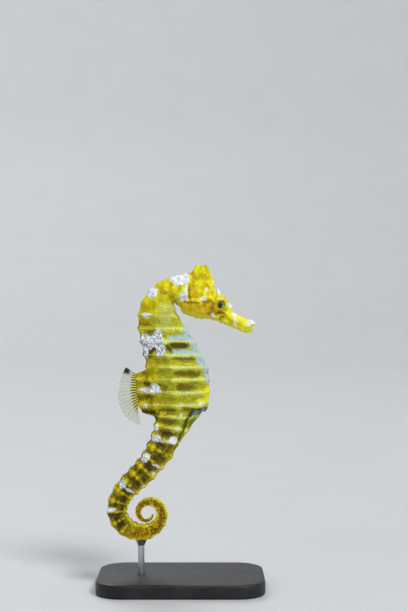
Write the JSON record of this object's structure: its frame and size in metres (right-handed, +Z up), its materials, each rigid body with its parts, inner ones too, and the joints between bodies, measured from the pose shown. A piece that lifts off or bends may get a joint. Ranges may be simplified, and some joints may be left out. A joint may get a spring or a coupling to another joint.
{
  "type": "seahorse model on a display stand",
  "caption": "Life-size still model of a yellow seahorse with ringed body, coiled tail and fan-shaped fins, held upright on a small flat base by a rod under the tail.",
  "frame": {"origin": "centre of the underside of the stand base, on the surface it rests on", "axes": "+Z up, +X the way the snout points, +Y the animal's left side"},
  "size_m": [0.06, 0.04, 0.1165],
  "materials": {
    "skin": "moist bony-plated skin, bright yellow with brown bars and white blotches",
    "fin": "thin translucent fin skin over pale rays",
    "eye": "glossy olive iris with a black pupil",
    "stand_base": "satin black acrylic block with a fine bevel",
    "stand_rod": "brushed"
  },
  "bodies": {
    "root": {"head": "skin", "snout": "skin", "coronet": "skin", "eye_left": "eye", "eye_right": "eye", "neck": "skin", "trunk": "skin", "brood_pouch": "skin", "tail_1": "skin", "tail_2": "skin", "tail_3": "skin", "tail_4": "skin", "tail_5": "skin", "tail_6": "skin", "dorsal_fin": "fin", "pectoral_fin_left": "fin", "pectoral_fin_right": "fin", "anal_fin": "fin", "stand_base": "stand_base", "stand_rod": "stand_rod"}
  },
  "joints": []
}
